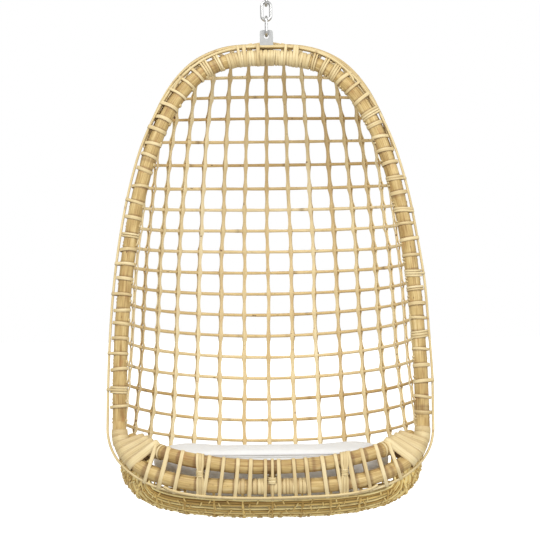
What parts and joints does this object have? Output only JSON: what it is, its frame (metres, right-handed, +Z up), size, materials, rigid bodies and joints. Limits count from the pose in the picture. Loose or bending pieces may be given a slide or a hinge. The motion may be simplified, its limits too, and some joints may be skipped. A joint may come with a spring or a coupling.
{
  "type": "hanging egg chair",
  "caption": "Egg-shaped hanging chair woven from rattan rows and ribs on a bent pole hoop, with front rails, a round cushion, a short chain and a swivel ceiling fitting.",
  "frame": {"origin": "middle of the ceiling plate's upper face, which lies against the ceiling", "axes": "+Z up, -Y towards the open front of the chair, +X to the left of a person sitting in it"},
  "size_m": [0.758, 0.6559, 1.3271],
  "materials": {
    "steel": "satin",
    "washer": "plain",
    "chain": "bright",
    "plate": "satin grey",
    "pole": "clear varnish over rattan pole",
    "row": "clear varnish over rattan",
    "rib": "clear varnish over rattan",
    "cane": "varnished split cane",
    "cushion": "off-white woven cotton",
    "piping": "cotton cord"
  },
  "bodies": {
    "ceiling": {"ceiling_plate": "steel", "thrust_washer": "washer"},
    "swivel": {"swivel_eye": "steel", "swivel_nut": "steel"},
    "top_link": {"chain_link_top": "chain"},
    "middle_link": {"chain_link_middle": "chain"},
    "bottom_link": {"chain_link_bottom": "chain"},
    "chair": {"hanger_plate": "plate", "hanger_bolts": "steel", "hanger_nuts": "steel", "front_hoop": "pole", "seat_rail": "pole", "rail_posts": "pole", "outer_trim": "cane", "rail_trim": "cane", "back_rows": "row", "seat_rows": "row", "inner_back_ribs": "rib", "outer_back_ribs": "rib", "inner_seat_ribs": "rib", "outer_seat_ribs": "rib", "hoop_bindings_left": "cane", "hoop_bindings_right": "cane", "top_lashing": "cane", "corner_bands_left": "cane", "corner_bands_right": "cane", "rail_bindings": "cane"},
    "cushion": {"seat_cushion": "cushion", "cushion_piping": "piping"}
  },
  "joints": [
    {"name": "swivel_turn", "type": "hinge", "parent": "ceiling", "child": "swivel", "pos_m": [0, 0, 0], "axis": [0, 0, 1], "continuous": true},
    {"name": "top_link_swing", "type": "hinge", "parent": "swivel", "child": "top_link", "pos_m": [0, 0, -0.0648], "axis": [1, 0, 0], "range_deg": [-20, 20]},
    {"name": "middle_link_swing", "type": "hinge", "parent": "top_link", "child": "middle_link", "pos_m": [0, 0, -0.10075], "axis": [0, 1, 0], "range_deg": [-20, 20]},
    {"name": "bottom_link_swing", "type": "hinge", "parent": "middle_link", "child": "bottom_link", "pos_m": [0, 0, -0.13745], "axis": [1, 0, 0], "range_deg": [-20, 20]},
    {"name": "chair_swing", "type": "hinge", "parent": "bottom_link", "child": "chair", "pos_m": [0, 0, -0.17415], "axis": [0, 1, 0], "range_deg": [-20, 20]},
    {"name": "cushion_lift", "type": "slide", "parent": "chair", "child": "cushion", "axis": [0, 0, 1], "range_m": [0, 0.15]}
  ]
}
